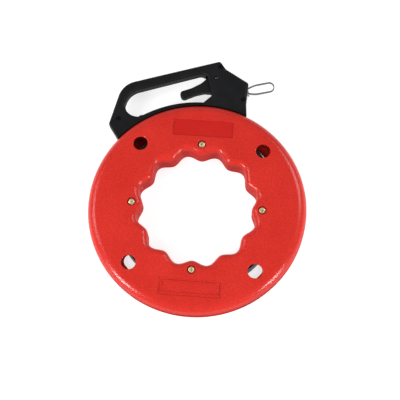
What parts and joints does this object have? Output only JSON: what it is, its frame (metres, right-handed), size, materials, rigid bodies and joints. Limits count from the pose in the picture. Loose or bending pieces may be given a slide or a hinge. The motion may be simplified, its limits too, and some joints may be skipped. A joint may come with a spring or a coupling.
{
  "type": "fish tape reel",
  "caption": "Ring-shaped case of coiled steel tape that turns in a hand grip; the tape leaves by the grip's nose and ends in a loop.",
  "frame": {"origin": "on the reel's axis, at the back face that the reel lies on", "axes": "+Z along the reel's axis, out of the front face; +Y from the axis towards the grip; +X along the grip towards the tape's exit"},
  "size_m": [0.3, 0.3551, 0.035],
  "materials": {
    "case_red": "fine grained moulded plastic, satin",
    "handle_black": "fine grained moulded plastic, satin",
    "trigger_black": "fine grained moulded plastic, satin",
    "brass_screws": "passivated, satin",
    "brass_nuts": "passivated, satin",
    "black_screws": "black oxide",
    "zinc_steel": "bright zinc plated",
    "tape_steel": "tempered spring steel, dull grey",
    "shoe_nylon": "natural nylon, smooth",
    "pad_rubber": "matt rubber"
  },
  "bodies": {
    "handle": {"handle_front": "handle_black", "handle_back": "handle_black", "handle_screws": "black_screws", "left_shoe": "shoe_nylon", "right_shoe": "shoe_nylon", "shoe_pins": "zinc_steel", "trigger_pin": "zinc_steel", "trigger_spring": "zinc_steel", "guide_pins": "zinc_steel", "exit_eyelet": "zinc_steel", "tape_run": "tape_steel"},
    "case": {"front_shell": "case_red", "back_shell": "case_red", "case_screws": "brass_screws", "case_nuts": "brass_nuts", "tape_coil": "tape_steel", "tape_tail": "tape_steel", "anchor_clip": "zinc_steel", "anchor_screw": "zinc_steel"},
    "trigger": {"trigger": "trigger_black", "brake_pad": "pad_rubber"},
    "tape_end": {"tape_lead": "tape_steel", "tape_loop": "tape_steel", "loop_ferrule": "zinc_steel"}
  },
  "joints": [
    {"name": "case_turn", "type": "hinge", "parent": "handle", "child": "case", "pos_m": [0, 0, 0.0175], "axis": [0, 0, 1], "continuous": true},
    {"name": "trigger_squeeze", "type": "hinge", "parent": "handle", "child": "trigger", "pos_m": [0.0715, 0.1812, 0.0175], "axis": [0, 0, -1], "range_deg": [0, 12], "stiffness_Nm_per_rad": 2, "springref_deg": -5.73},
    {"name": "tape_payout", "type": "slide", "parent": "handle", "child": "tape_end", "axis": [1, 0, 0], "range_m": [0, 0.025]}
  ]
}
